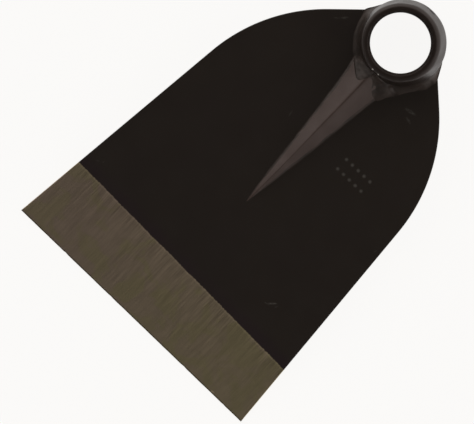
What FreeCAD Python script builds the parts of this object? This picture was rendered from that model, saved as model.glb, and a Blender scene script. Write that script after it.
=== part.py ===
import FreeCAD, Part
import math
import os
import Sketcher
from FreeCAD import Vector

# Grub hoe head. The eye's axis is Z, with its rear rim on Z = 0. The blade runs towards -Y and its
# cutting edge lies along X, on Z = 0 too, so the head lies flat on its rear rim and its edge.
# Lengths are in millimetres and angles in degrees.

SIZES = [
    ("edge_left", 103.6, "cutting edge on the -X side of the eye axis"),
    ("edge_right", 97.2, "cutting edge on the +X side of the eye axis"),
    ("edge_reach", 252.5, "eye axis to cutting edge"),
    ("taper_left", 6.2, "lean of the straight side on the -X side"),
    ("taper_right", 4.2, "lean of the straight side on the +X side"),
    ("shoulder_radius", 117.0, "round shoulders"),
    ("neck_lean", 46.8, "lean of the neck lines"),
    ("horn_rise", 4.0, "neck lines meet the collar this far past the eye axis"),
    ("neck_flat", 34.0, "flat part of the plate round the eye, from the eye axis"),
    ("neck_thickness", 5.0, "plate at the eye"),
    ("back_bow_radius", 2000.0, "bow of the back face"),
    ("front_bow_radius", 1650.0, "bow of the front face, tighter, so that the blade thins"),
    ("edge_thickness", 0.8, "blunt cutting edge"),
    ("bevel_reach", 42.0, "ground bevel, from the cutting edge"),
    ("bit_depth_left", 49.5, "bit at the corner on the -X side"),
    ("bit_depth_right", 44.5, "bit at the corner on the +X side"),
    ("eye_bore", 40.0, "round eye for the handle"),
    ("mouth_round", 1.5, "rounding of the eye's front mouth"),
    ("rim_diameter", 53.0, "collar across its front rim, before rounding"),
    ("belt_diameter", 57.6, "collar across its widest band, where the plate seats"),
    ("rear_diameter", 51.0, "collar across its rear rim"),
    ("collar_side_shift", 1.1, "collar's outside off the eye axis, toward +X"),
    ("collar_up_shift", 1.2, "collar's outside off the eye axis, away from the blade"),
    ("rim_round", 3.0, "rounding of the collar's front rim"),
    ("rear_round", 1.0, "rounding of the collar's rear rim"),
    ("collar_proud", 21.0, "collar's front rim above the plate's front face"),
    ("front_weld_width", 2.6, "front weld, out from the collar"),
    ("front_weld_height", 4.5, "front weld, up the collar"),
    ("back_weld_leg", 2.6, "both legs of the back weld"),
    ("rib_reach", 146.0, "eye axis to the rib's point"),
    ("rib_root", 31.7, "eye axis to where the rib has its full width"),
    ("rib_width", 28.2, "rib across its full width"),
    ("rib_height", 13.0, "rib above the plate at its full width"),
    ("rib_weld_leg", 1.2, "weld along the rib's foot, out from the rib"),
    ("head_weld_height", 1.6, "weld over the rib's head, above the crest"),
]

doc = FreeCAD.newDocument("grub_hoe")
sheet = doc.addObject("Spreadsheet::Sheet", "Sizes")
for row, (alias, value, note) in enumerate(SIZES, start=1):
    sheet.set("A%d" % row, alias)
    sheet.set("B%d" % row, str(value))
    sheet.set("C%d" % row, note)
    sheet.setAlias("B%d" % row, alias)
doc.recompute()

# Sizes worked out from the sheet, as expressions on it.
EDGE_WIDTH = "(Sizes.edge_left + Sizes.edge_right)"
BELT_RADIUS = "Sizes.belt_diameter / 2"
BOW_RUN = "(Sizes.edge_reach - Sizes.neck_flat)"
BACK_FACE = "(Sizes.back_bow_radius - sqrt(Sizes.back_bow_radius ^ 2 - %s ^ 2))" % BOW_RUN
FRONT_FACE = "(%s + Sizes.neck_thickness)" % BACK_FACE
COLLAR_DEPTH = "(%s + Sizes.collar_proud)" % FRONT_FACE
BELT_LOW = "(%s - Sizes.back_weld_leg)" % BACK_FACE
BELT_HIGH = "(%s + Sizes.front_weld_height)" % FRONT_FACE
SIDE_SHIFT = "Sizes.collar_side_shift"
UP_SHIFT = "Sizes.collar_up_shift"
HORN_SPREAD = "sqrt((%s) ^ 2 - (Sizes.horn_rise - %s) ^ 2)" % (BELT_RADIUS, UP_SHIFT)
CREST_SLOPE = "(2 * Sizes.rib_height / Sizes.rib_width)"

# The rib's sections stand at these shares of its length. Past 1 the crest dives into the plate,
# which leaves the rib's point.
RIB_STATIONS = (0.35, 0.7)
RIB_POINTED_END = 1.1
RIB_BLUNT_END = 1.0


# Two sizes nearer than this are the same place.
SAME_PLACE = 0.01


def size(expression):
    """The present value of an expression on the sheet."""
    value = sheet.evalExpression(str(expression))
    return float(getattr(value, "Value", value))


def radians(expression):
    return math.radians(size(expression))


# Sketching helpers

def new_body(label):
    body = doc.addObject("PartDesign::Body", label)
    body.Label = label
    return body


def new_sketch(body, name, role):
    """A sketch on one of the body's own origin planes."""
    sketch = body.newObject("Sketcher::SketchObject", name)
    plane = [feature for feature in body.Origin.OriginFeatures if feature.Role == role][0]
    sketch.AttachmentSupport = [(plane, "")]
    sketch.MapMode = "FlatFace"
    return sketch


def drive(sketch, kind, *where_and_expression):
    """A sketch dimension that follows an expression on the sheet."""
    *where, expression = where_and_expression
    value = radians(expression) if kind == "Angle" else size(expression)
    index = sketch.addConstraint(Sketcher.Constraint(kind, *where, value))
    sketch.setExpression("Constraints[%d]" % index, str(expression))


def fix_point(sketch, geometry, end, x_expression, y_expression):
    """Places a point by its distances from the sketch's origin."""
    for kind, expression in (("DistanceX", x_expression), ("DistanceY", y_expression)):
        drive(sketch, kind, -1, 1, geometry, end, expression)


def closed_outline(sketch, corners):
    """Straight lines through corners given as pairs of expressions, each corner driven."""
    points = [Vector(size(x), size(y), 0) for x, y in corners]
    count = len(points)
    for i in range(count):
        sketch.addGeometry(Part.LineSegment(points[i], points[(i + 1) % count]), False)
    for i in range(count):
        sketch.addConstraint(Sketcher.Constraint("Coincident", i, 2, (i + 1) % count, 1))
        fix_point(sketch, i, 1, *corners[i])


def pad_both_ways(body, sketch, width_expression):
    pad = body.newObject("PartDesign::Pad", sketch.Name + "_pad")
    pad.Profile = sketch
    pad.SideType = "Symmetric"
    pad.setExpression("Length", width_expression)
    return pad


def pocket_through(body, sketch):
    """Cuts the sketch's outline right through, both ways from its plane."""
    pocket = body.newObject("PartDesign::Pocket", sketch.Name + "_cut")
    pocket.Profile = sketch
    pocket.Type = "ThroughAll"
    pocket.SideType = "Symmetric"
    return pocket


# The blade: plate and bit share one side profile and one outline.

def bow_z(face, radius, reach):
    """Height of a bowed face this far from the eye axis, as an expression."""
    return "(%s - %s + sqrt(%s ^ 2 - (%s - Sizes.neck_flat) ^ 2))" % (face, radius, radius, reach)


def bow_arc(face, radius, reach):
    """The bow of one face, from the flat neck to the given reach. It starts level."""
    centre = Vector(-size("Sizes.neck_flat"), size(face) - size(radius), 0)
    sweep = math.asin((size(reach) - size("Sizes.neck_flat")) / size(radius))
    circle = Part.Circle(centre, Vector(0, 0, 1), size(radius))
    return Part.ArcOfCircle(circle, math.pi / 2, math.pi / 2 + sweep)


def blade_blank(body):
    """The whole blade: its side view padded past both sides, then trimmed to its outline.

    The neck end stands a little past the horns, inside what the collar seat takes away.
    """
    side = new_sketch(body, "side_view", "YZ_Plane")
    top_end = "2 * Sizes.horn_rise"
    bevel_start = "(Sizes.edge_reach - Sizes.bevel_reach)"
    bevel_z = bow_z(FRONT_FACE, "Sizes.front_bow_radius", bevel_start)
    corners = [
        (top_end, BACK_FACE),
        ("-Sizes.neck_flat", BACK_FACE),
        ("-Sizes.edge_reach", "0"),
        ("-Sizes.edge_reach", "Sizes.edge_thickness"),
        ("-" + bevel_start, bevel_z),
        ("-Sizes.neck_flat", FRONT_FACE),
        (top_end, FRONT_FACE),
    ]
    points = [Vector(size(x), size(y), 0) for x, y in corners]
    back_arc = bow_arc(BACK_FACE, "Sizes.back_bow_radius", "Sizes.edge_reach")
    front_arc = bow_arc(FRONT_FACE, "Sizes.front_bow_radius", bevel_start)
    shapes = [
        Part.LineSegment(points[0], points[1]),
        back_arc,
        Part.LineSegment(points[2], points[3]),
        Part.LineSegment(points[3], points[4]),
        front_arc,
        Part.LineSegment(points[5], points[6]),
        Part.LineSegment(points[6], points[0]),
    ]
    for shape in shapes:
        side.addGeometry(shape, False)
    # The front arc runs from the neck to the bevel, against the outline's order.
    joins = [(0, 2, 1, 1), (1, 2, 2, 1), (2, 2, 3, 1), (3, 2, 4, 2), (4, 1, 5, 1), (5, 2, 6, 1)]
    joins.append((6, 2, 0, 1))
    for join in joins:
        side.addConstraint(Sketcher.Constraint("Coincident", *join))
    ends = [(0, 1), (0, 2), (2, 1), (2, 2), (3, 2), (5, 1), (5, 2)]
    for (index, end), corner in zip(ends, corners):
        fix_point(side, index, end, *corner)
    drive(side, "Radius", 1, "Sizes.back_bow_radius")
    drive(side, "Radius", 4, "Sizes.front_bow_radius")
    pad_both_ways(body, side, "2 * " + EDGE_WIDTH)
    trim_side(body, "-", "Sizes.edge_left", "Sizes.taper_left")
    trim_side(body, "", "Sizes.edge_right", "Sizes.taper_right")


def trim_side(body, sign, half_edge, taper):
    """Cuts away what lies outside one side: its straight run, round shoulder and neck line.

    The sign is "-" for the -X side and "" for the +X side.
    """
    trim = new_sketch(body, "side_trim", "XY_Plane")
    way = -1 if sign == "-" else 1
    side_lean = radians(taper)
    neck_lean = radians("Sizes.neck_lean")
    turn = neck_lean - side_lean
    corner = Vector(way * size(half_edge), -size("Sizes.edge_reach"), 0)
    horn_x = "%s + (%d) * %s" % (SIDE_SHIFT, way, HORN_SPREAD)
    horn = Vector(size(horn_x), size("Sizes.horn_rise"), 0)
    side_run = Vector(-way * math.sin(side_lean), math.cos(side_lean), 0)
    neck_run = Vector(-way * math.sin(neck_lean), math.cos(neck_lean), 0)
    # The shoulder is the arc that touches both lines, so it starts short of where they would meet.
    gap = horn - corner
    along_side = way * (gap.x * neck_run.y - gap.y * neck_run.x) / math.sin(turn)
    meeting = corner + side_run * along_side
    radius = size("Sizes.shoulder_radius")
    shoulder_start = meeting - side_run * (radius * math.tan(turn / 2))
    shoulder_end = meeting + neck_run * (radius * math.tan(turn / 2))
    centre = shoulder_start + Vector(-side_run.y, side_run.x, 0) * (way * radius)
    first, last = side_lean, neck_lean
    arc_start, arc_end = 1, 2
    if way < 0:
        first, last = math.pi - neck_lean, math.pi - side_lean
        arc_start, arc_end = 2, 1
    shoulder = Part.ArcOfCircle(Part.Circle(centre, Vector(0, 0, 1), radius), first, last)
    outside = [
        ("0", "Sizes.belt_diameter"),
        (sign + "2 * " + EDGE_WIDTH, "Sizes.belt_diameter"),
        (sign + "2 * " + EDGE_WIDTH, "-2 * Sizes.edge_reach"),
        (sign + half_edge, "-2 * Sizes.edge_reach"),
    ]
    corners = [horn] + [Vector(size(x), size(y), 0) for x, y in outside] + [corner]
    trim.addGeometry(Part.LineSegment(corner, shoulder_start), False)
    trim.addGeometry(shoulder, False)
    trim.addGeometry(Part.LineSegment(shoulder_end, horn), False)
    for start, end in zip(corners, corners[1:]):
        trim.addGeometry(Part.LineSegment(start, end), False)
    trim.addConstraint(Sketcher.Constraint("Tangent", 0, 2, 1, arc_start))
    trim.addConstraint(Sketcher.Constraint("Tangent", 1, arc_end, 2, 1))
    for i in range(2, 8):
        trim.addConstraint(Sketcher.Constraint("Coincident", i, 2, (i + 1) % 8, 1))
    fix_point(trim, 0, 1, sign + half_edge, "-Sizes.edge_reach")
    fix_point(trim, 2, 2, horn_x, "Sizes.horn_rise")
    drive(trim, "Angle", -2, 0, sign + taper)
    drive(trim, "Angle", -2, 2, sign + "Sizes.neck_lean")
    drive(trim, "Radius", 1, "Sizes.shoulder_radius")
    for i, place in enumerate(outside):
        fix_point(trim, 4 + i, 1, *place)
    pocket_through(body, trim)


def cut_at_seam(body, keep_eye_side):
    """Cuts the blade along the slanting seam and keeps one side of it."""
    seam = new_sketch(body, "seam", "XY_Plane")
    far_y = "-2 * Sizes.edge_reach" if keep_eye_side else "Sizes.edge_reach"
    left_y = "Sizes.bit_depth_left - Sizes.edge_reach"
    right_y = "Sizes.bit_depth_right - Sizes.edge_reach"
    left_x = "-Sizes.edge_left"
    right_x = "Sizes.edge_right"
    closed_outline(seam, [(left_x, left_y), (right_x, right_y), (right_x, far_y), (left_x, far_y)])
    pocket_through(body, seam)


def make_blade_plate():
    body = new_body("blade_plate")
    blade_blank(body)
    cut_at_seam(body, keep_eye_side=True)
    seat = new_sketch(body, "collar_seat", "XY_Plane")
    middle = Vector(size(SIDE_SHIFT), size(UP_SHIFT), 0)
    seat.addGeometry(Part.Circle(middle, Vector(0, 0, 1), size(BELT_RADIUS)), False)
    fix_point(seat, 0, 3, SIDE_SHIFT, UP_SHIFT)
    drive(seat, "Radius", 0, BELT_RADIUS)
    pocket_through(body, seat)
    return body


def make_cutting_bit():
    body = new_body("cutting_bit")
    blade_blank(body)
    cut_at_seam(body, keep_eye_side=False)
    return body


# The collar, and what is shaped to its outside

def centre_on_collar(sketch, plane):
    """Moves a sketch, and the axis it turns about, to the middle of the collar's outside."""
    across, out = (SIDE_SHIFT, "-" + UP_SHIFT) if plane == "XZ_Plane" else (UP_SHIFT, SIDE_SHIFT)
    sketch.setExpression("AttachmentOffset.Base.x", across)
    sketch.setExpression("AttachmentOffset.Base.z", out)


def collar_profile(body, name):
    """Half section of the collar's outside, filled to its own axis."""
    sketch = new_sketch(body, name, "XZ_Plane")
    centre_on_collar(sketch, "XZ_Plane")
    closed_outline(sketch, [
        ("0", "0"),
        ("Sizes.rear_diameter / 2", "0"),
        (BELT_RADIUS, BELT_LOW),
        (BELT_RADIUS, BELT_HIGH),
        ("Sizes.rim_diameter / 2", COLLAR_DEPTH),
        ("0", COLLAR_DEPTH),
    ])
    return sketch


def round_edge(body, base, radius_expression, edge_radius, edge_z):
    """Rounds the circular edge of the given radius at the given height."""
    doc.recompute()
    names = []
    for i, edge in enumerate(base.Shape.Edges, start=1):
        if not isinstance(edge.Curve, Part.Circle):
            continue
        misses = (edge.Curve.Radius - edge_radius, edge.Curve.Center.z - edge_z)
        if max(abs(miss) for miss in misses) < SAME_PLACE:
            names.append("Edge%d" % i)
    fillet = body.newObject("PartDesign::Fillet", "rounding")
    fillet.Base = (base, names)
    fillet.setExpression("Radius", radius_expression)
    return fillet


def make_eye_collar():
    body = new_body("eye_collar")
    profile = collar_profile(body, "collar_section")
    ring = body.newObject("PartDesign::Revolution", "collar_ring")
    ring.Profile = profile
    ring.ReferenceAxis = (profile, ["V_Axis"])
    ring.Angle = 360
    bore = new_sketch(body, "eye", "XY_Plane")
    bore.addGeometry(Part.Circle(Vector(0, 0, 0), Vector(0, 0, 1), size("Sizes.eye_bore / 2")), False)
    bore.addConstraint(Sketcher.Constraint("Coincident", 0, 3, -1, 1))
    drive(bore, "Radius", 0, "Sizes.eye_bore / 2")
    eye = pocket_through(body, bore)
    depth = size(COLLAR_DEPTH)
    front = round_edge(body, eye, "Sizes.rim_round", size("Sizes.rim_diameter / 2"), depth)
    mouth = round_edge(body, front, "Sizes.mouth_round", size("Sizes.eye_bore / 2"), depth)
    round_edge(body, mouth, "Sizes.rear_round", size("Sizes.rear_diameter / 2"), 0)
    return body


def cut_collar_outside(body):
    """Takes the collar's own outside out of a piece that butts against it."""
    profile = collar_profile(body, "collar_outside")
    groove = body.newObject("PartDesign::Groove", "collar_outside_cut")
    groove.Profile = profile
    groove.ReferenceAxis = (profile, ["V_Axis"])
    groove.Angle = 360


def cut_at_front_face(body, lift, far_z):
    """Takes away whatever lies between the plate's front face, lifted, and a far height."""
    cut = new_sketch(body, "plate_front", "YZ_Plane")
    reach = "(Sizes.edge_reach - Sizes.bevel_reach)"
    face = "(%s + %s)" % (FRONT_FACE, lift)
    corners = [
        ("Sizes.neck_flat", face),
        ("-Sizes.neck_flat", face),
        ("-" + reach, bow_z(face, "Sizes.front_bow_radius", reach)),
        ("-" + reach, far_z),
        ("Sizes.neck_flat", far_z),
    ]
    points = [Vector(size(x), size(y), 0) for x, y in corners]
    cut.addGeometry(Part.LineSegment(points[0], points[1]), False)
    cut.addGeometry(bow_arc(face, "Sizes.front_bow_radius", reach), False)
    for i in range(2, 5):
        cut.addGeometry(Part.LineSegment(points[i], points[(i + 1) % 5]), False)
    for i in range(5):
        cut.addConstraint(Sketcher.Constraint("Coincident", i, 2, (i + 1) % 5, 1))
    for index, end, corner in ((0, 1, 0), (0, 2, 1), (2, 1, 2), (3, 1, 3), (4, 1, 4)):
        fix_point(cut, index, end, *corners[corner])
    drive(cut, "Radius", 1, "Sizes.front_bow_radius")
    pocket_through(body, cut)


def weld_ring(label, face, width, height):
    """Half ring of triangular section round the collar's blade side, on one face of the plate."""
    body = new_body(label)
    section = new_sketch(body, "weld_section", "YZ_Plane")
    centre_on_collar(section, "YZ_Plane")
    inside = "-(%s) / 2" % BELT_RADIUS
    wall = "-(%s)" % BELT_RADIUS
    top = "%s + %s" % (face, height)
    closed_outline(section, [
        (inside, face),
        ("-(%s + %s)" % (BELT_RADIUS, width), face),
        (wall, top),
        (inside, top),
    ])
    ring = body.newObject("PartDesign::Revolution", "weld_ring")
    ring.Profile = section
    ring.ReferenceAxis = (section, ["V_Axis"])
    ring.Angle = 180
    ring.Midplane = True
    cut_collar_outside(body)
    return body


# The rib and the welds round it

def ridge(label, side_gain, end_share):
    """The rib's ridge, standing on the plate's front face and butting on the collar.

    The gain moves both flanks out, and the crest up with them.
    """
    body = new_body(label)
    rise = "(Sizes.rib_height + %s * %s)" % (side_gain, CREST_SLOPE)
    fall = "Sizes.rib_height / (Sizes.rib_reach - Sizes.rib_root)"
    stations = [
        (BELT_RADIUS + " / 2", FRONT_FACE),
        ("Sizes.neck_flat", FRONT_FACE),
    ]
    for share in RIB_STATIONS + (end_share,):
        reach = "(Sizes.neck_flat + %s * (Sizes.rib_reach - Sizes.neck_flat))" % share
        stations.append((reach, bow_z(FRONT_FACE, "Sizes.front_bow_radius", reach)))
    sections = []
    for i, (reach, face) in enumerate(stations):
        # Each section goes on down into the plate, and the part below its face is cut away.
        crest = "(%s + %s - (%s - Sizes.rib_root) * %s)" % (face, rise, reach, fall)
        foot = "(%s - Sizes.neck_thickness)" % face
        half = "(%s - %s) / %s" % (crest, foot, CREST_SLOPE)
        section = new_sketch(body, "ridge_section_%d" % i, "XZ_Plane")
        section.setExpression("AttachmentOffset.Base.z", reach)
        closed_outline(section, [("-" + half, foot), (half, foot), ("0", crest)])
        sections.append(section)
    loft = body.newObject("PartDesign::AdditiveLoft", "ridge")
    loft.Profile = sections[0]
    loft.Sections = sections[1:]
    loft.Ruled = True
    cut_at_front_face(body, "0", "-Sizes.edge_reach")
    cut_collar_outside(body)
    return body


def cut_from(label, piece, tool):
    result = doc.addObject("Part::Cut", label)
    result.Label = label
    result.Base = piece
    result.Tool = tool
    return result


def combine(kind, label, pieces):
    """What several pieces share (Part::MultiCommon), or all of them as one (Part::MultiFuse)."""
    result = doc.addObject(kind, label)
    result.Shapes = pieces
    return result


def make_collar_weld_front(rib):
    """The bead runs round the collar's foot and climbs over the head of the rib.

    It returns the bead before and after the rib is cut out of it.
    """
    foot_ring = weld_ring("foot_ring", FRONT_FACE, "Sizes.front_weld_width", "Sizes.front_weld_height")
    head_rise = "(Sizes.rib_height + Sizes.head_weld_height)"
    head_ring = weld_ring("head_ring", FRONT_FACE, "Sizes.front_weld_width", head_rise)
    raised_rib = ridge("raised_rib", "Sizes.head_weld_height", RIB_BLUNT_END)
    head = combine("Part::MultiCommon", "head_bead", [head_ring, raised_rib])
    bead = combine("Part::MultiFuse", "bead", [foot_ring, head])
    return bead, cut_from("collar_weld_front", bead, rib)


def make_rib_welds(rib, bead):
    """A low run along each side of the rib's foot, from the collar's bead round the point."""
    run = ridge("weld_run", "Sizes.rib_weld_leg", RIB_BLUNT_END)
    cut_at_front_face(run, "Sizes.rib_weld_leg", "Sizes.edge_reach")
    beside_rib = cut_from("runs_beside_rib", run, rib)
    return cut_from("rib_welds", beside_rib, bead)


blade_plate = make_blade_plate()
cutting_bit = make_cutting_bit()
eye_collar = make_eye_collar()
spine_rib = ridge("spine_rib", "0", RIB_POINTED_END)
back_leg = "Sizes.back_weld_leg"
collar_weld_back = weld_ring("collar_weld_back", BACK_FACE, back_leg, "-" + back_leg)
front_bead, collar_weld_front = make_collar_weld_front(spine_rib)
rib_welds = make_rib_welds(spine_rib, front_bead)

doc.recompute()
pieces = [blade_plate, cutting_bit, eye_collar, spine_rib, collar_weld_front, collar_weld_back, rib_welds]
for thing in doc.Objects:
    if any(word in thing.State for word in ("Invalid", "Error")):
        raise RuntimeError("%s could not be made" % thing.Name)
for piece in pieces:
    if piece.Shape.isNull() or not piece.Shape.isValid():
        raise RuntimeError("%s has no valid shape" % piece.Label)

os.makedirs("parts", exist_ok=True)
for piece in pieces:
    piece.Shape.exportStep("parts/%s.step" % piece.Label)
    print("%s: %d solid(s), %.0f mm3" % (piece.Label, len(piece.Shape.Solids), piece.Shape.Volume))
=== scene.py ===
import math

import bmesh
import bpy
import numpy as np
from mathutils import Matrix, Vector


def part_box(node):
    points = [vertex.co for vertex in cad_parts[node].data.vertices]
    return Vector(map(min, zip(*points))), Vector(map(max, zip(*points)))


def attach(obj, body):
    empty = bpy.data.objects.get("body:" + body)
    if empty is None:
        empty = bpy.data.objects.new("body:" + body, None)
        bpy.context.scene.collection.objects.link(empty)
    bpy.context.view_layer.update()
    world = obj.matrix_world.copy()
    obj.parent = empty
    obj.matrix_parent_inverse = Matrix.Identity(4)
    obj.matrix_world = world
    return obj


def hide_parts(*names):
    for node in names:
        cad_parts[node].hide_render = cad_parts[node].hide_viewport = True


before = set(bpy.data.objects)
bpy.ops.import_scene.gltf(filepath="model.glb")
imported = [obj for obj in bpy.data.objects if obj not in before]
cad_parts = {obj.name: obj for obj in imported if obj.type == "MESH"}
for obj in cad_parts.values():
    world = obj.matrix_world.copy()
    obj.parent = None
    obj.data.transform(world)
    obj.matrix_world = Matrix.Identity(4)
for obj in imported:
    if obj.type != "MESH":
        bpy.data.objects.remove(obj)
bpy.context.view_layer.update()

# The head is shaped in millimetres, in the frame of the CAD, and scaled to metres as each mesh is made.
mm = 0.001


def boxOf(node):
    low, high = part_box(node)
    return np.array(low) / mm, np.array(high) / mm


plateLow, plateHigh = boxOf("blade_plate")
bitLow, bitHigh = boxOf("cutting_bit")
collarLow, collarHigh = boxOf("eye_collar")
ribLow = boxOf("spine_rib")[0]
backWeldLow, backWeldHigh = boxOf("collar_weld_back")
print("frame loaded:", len(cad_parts), "nodes")


# Shapes that several pieces share

bladeForm = {
    "neckLean": 46.8,  # degrees from the blade's length to its neck line
    "taperLeft": 6.2,
    "taperRight": 4.2,
    "shoulderRadius": 117.0,
    "hornRise": 4.0,
    "flatReach": 34.0,  # flat this far from the eye, bowed beyond
    "frontBow": 1650.0,
    "backBow": 2000.0,
    "bevelReach": 42.0,
    "bevelSoft": 5.0,  # how gently the bevel starts
    "edgeThickness": 0.8,
    "frontRound": 0.5,
    "backRound": 0.5,
    "waveHeight": 0.10,  # rolling and hammering marks
    "waveLength": 46.0,
}
frontFace = plateHigh[2]
backFace = backWeldHigh[2]
collarRadius = (collarHigh[0] - collarLow[0]) / 2
collarMiddle = (collarHigh[:2] + collarLow[:2]) / 2  # the collar's outside isn't centred on its bore
edgeReach = -bitLow[1]
seamLeft = np.array([plateLow[0], bitHigh[1]])
seamRight = np.array([plateHigh[0], plateLow[1]])


def lumps(x, y, length, seed, count=9):
    # a smooth random surface of about -1 to 1
    rng = np.random.default_rng(seed)
    total = 0
    for _ in range(count):
        way = rng.uniform(0, math.tau)
        wave = length * rng.uniform(0.7, 1.7)
        start = rng.uniform(0, math.tau)
        total = total + np.sin((x * math.cos(way) + y * math.sin(way)) * math.tau / wave + start)
    return total / math.sqrt(count) / 1.2


def bowed(y, face, bow):
    past = np.clip(-y - bladeForm["flatReach"], 0, None)
    return face - bow + np.sqrt(bow ** 2 - past ** 2)


def bladeWave(x, y):
    quiet = np.clip((np.hypot(x, y) - 30) / 20, 0, 1)
    return bladeForm["waveHeight"] * quiet * lumps(x, y, bladeForm["waveLength"], 11)


def frontHeight(x, y):
    # the bow, with the ground bevel taking over near the cutting edge
    bevelTop = bladeForm["bevelReach"] - edgeReach
    top = bowed(np.array(bevelTop), frontFace, bladeForm["frontBow"])
    slope = (top - bladeForm["edgeThickness"]) / bladeForm["bevelReach"]
    bevel = bladeForm["edgeThickness"] + slope * (y + edgeReach)
    bow = bowed(y, frontFace, bladeForm["frontBow"])
    soft = bladeForm["bevelSoft"] * 0.02
    blend = (bow + bevel) / 2 - np.sqrt((bow - bevel) ** 2 / 4 + soft ** 2)
    surface = np.where(y < bevelTop + 40, blend + soft * 0.2, bow)
    fade = np.clip((y + edgeReach) / 25, 0, 1)
    return surface + bladeWave(x, y) * fade


def backHeight(x, y):
    fade = np.clip((y + edgeReach) / 30, 0, 1)
    return bowed(y, backFace, bladeForm["backBow"]) + bladeWave(x, y) * fade


def sideShape(way):
    # straight run, round shoulder and neck line of one side, as in the CAD
    lean = math.radians(bladeForm["taperRight"] if way > 0 else bladeForm["taperLeft"])
    neck = math.radians(bladeForm["neckLean"])
    corner = np.array([bitHigh[0] if way > 0 else bitLow[0], -edgeReach])
    rise = bladeForm["hornRise"]
    spreadX = math.sqrt(collarRadius ** 2 - (rise - collarMiddle[1]) ** 2)
    horn = np.array([collarMiddle[0] + way * spreadX, rise])
    run = np.array([-way * math.sin(lean), math.cos(lean)])
    neckRun = np.array([-way * math.sin(neck), math.cos(neck)])
    gap = horn - corner
    along = way * (gap[0] * neckRun[1] - gap[1] * neckRun[0]) / math.sin(neck - lean)
    cut = bladeForm["shoulderRadius"] * math.tan((neck - lean) / 2)
    start = corner + run * (along - cut)
    end = corner + run * along + neckRun * cut
    inward = way * np.array([-run[1], run[0]])
    return {
        "way": way, "corner": corner, "run": run, "inward": inward, "start": start, "end": end, "horn": horn,
        "neckRun": neckRun, "neckInward": way * np.array([-neckRun[1], neckRun[0]]),
        "centre": start + inward * bladeForm["shoulderRadius"], "lean": lean, "neck": neck,
    }


sides = {-1: sideShape(-1), 1: sideShape(1)}


def edgeDistance(x, y):
    # how far inside the blade's side outline a point lies
    nearest = None
    for side in sides.values():
        p = np.stack([x, y], -1)
        onRun = (p - side["corner"]) @ side["inward"]
        onNeck = (p - side["horn"]) @ side["neckInward"]
        onArc = bladeForm["shoulderRadius"] - np.linalg.norm(p - side["centre"], axis=-1)
        d = np.where((p - side["start"]) @ side["run"] < 0, onRun, onArc)
        d = np.where((p - side["end"]) @ side["neckRun"] > 0, onNeck, d)
        nearest = d if nearest is None else np.minimum(nearest, d)
    return nearest


def rounding(distance, radius):
    # how much lower a rounded edge is at this distance from it
    inside = np.clip(radius - distance, 0, radius)
    return radius - np.sqrt(radius ** 2 - inside ** 2)


def sideOutline(side, step):
    # points up one side, from the seam to the horn
    seamRun = seamRight - seamLeft
    corner = side["corner"]
    run = side["run"]
    gap = seamLeft - corner
    along = (gap[0] * seamRun[1] - gap[1] * seamRun[0]) / (run[0] * seamRun[1] - run[1] * seamRun[0])
    low = corner + run * along
    straight = np.linspace(low, side["start"], int(np.linalg.norm(side["start"] - low) / step) + 2)
    first = side["lean"]
    last = side["neck"]
    turns = np.linspace(first, last, int((last - first) * bladeForm["shoulderRadius"] / step) + 2)
    way = side["way"]
    arc = side["centre"] + bladeForm["shoulderRadius"] * np.stack([way * np.cos(turns), np.sin(turns)], -1)
    neck = np.linspace(side["end"], side["horn"], int(np.linalg.norm(side["horn"] - side["end"]) / step) + 2)
    return np.concatenate([straight[:-1], arc[:-1], neck])


# Mesh making

def gridFaces(ids):
    a = ids[:-1, :-1].ravel()
    b = ids[1:, :-1].ravel()
    c = ids[1:, 1:].ravel()
    d = ids[:-1, 1:].ravel()
    return np.stack([a, b, c, d], -1).tolist()


def slab(front, back):
    # two sheets of points joined round their borders into one closed shell
    points = np.concatenate([front.reshape(-1, 3), back.reshape(-1, 3)])
    top = np.arange(front.shape[0] * front.shape[1]).reshape(front.shape[:2])
    under = np.arange(back.shape[0] * back.shape[1]).reshape(back.shape[:2]) + top.size
    faces = gridFaces(top) + gridFaces(under)
    faces += gridFaces(np.stack([top[:, 0], under[:, 0]], -1))
    faces += gridFaces(np.stack([top[:, -1], under[:, -1]], -1))
    for i in (0, -1):
        faces.append(top[i].tolist() + under[i][::-1].tolist())
    return points, faces


def tube(rings, closed):
    # a row of closed sections: a full ring of them, or a run with its two ends capped
    count = rings.shape[0]
    ids = np.arange(count * rings.shape[1]).reshape(rings.shape[:2])
    ids = np.concatenate([ids, ids[:, :1]], 1)
    if closed:
        ids = np.concatenate([ids, ids[:1]])
    faces = gridFaces(ids)
    if not closed:
        faces += [ids[0, :-1].tolist(), ids[-1, :-1].tolist()]
    return rings.reshape(-1, 3), faces


def makePiece(name, shape, material, rub=None):
    points, faces = shape
    mesh = bpy.data.meshes.new(name)
    mesh.from_pydata((points * mm).tolist(), [], faces)
    shell = bmesh.new()
    shell.from_mesh(mesh)
    bmesh.ops.recalc_face_normals(shell, faces=shell.faces)
    shell.to_mesh(mesh)
    shell.free()
    mesh.shade_smooth()
    mesh.set_sharp_from_angle(angle=math.radians(42))
    if rub is None:
        rub = np.zeros(len(points))
    wear = mesh.attributes.new("rub", "FLOAT", "POINT")
    wear.data.foreach_set("value", rub.astype(np.float32))
    mesh.materials.append(material)
    piece = bpy.data.objects.new(name, mesh)
    bpy.context.scene.collection.objects.link(piece)
    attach(piece, "root")
    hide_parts(name.replace("_look", ""))
    print("made", name, len(faces), "faces")
    return piece


# Finishes

def nodeSetup(name):
    material = bpy.data.materials.new(name)
    material.use_nodes = True
    tree = material.node_tree
    shader = tree.nodes["Principled BSDF"]
    place = tree.nodes.new("ShaderNodeTexCoord")
    return material, tree, shader, place.outputs["Object"]


def socketIn(tree, node, name, value):
    if isinstance(value, bpy.types.NodeSocket):
        tree.links.new(value, node.inputs[name])
    elif value is not None:
        node.inputs[name].default_value = value


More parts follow.
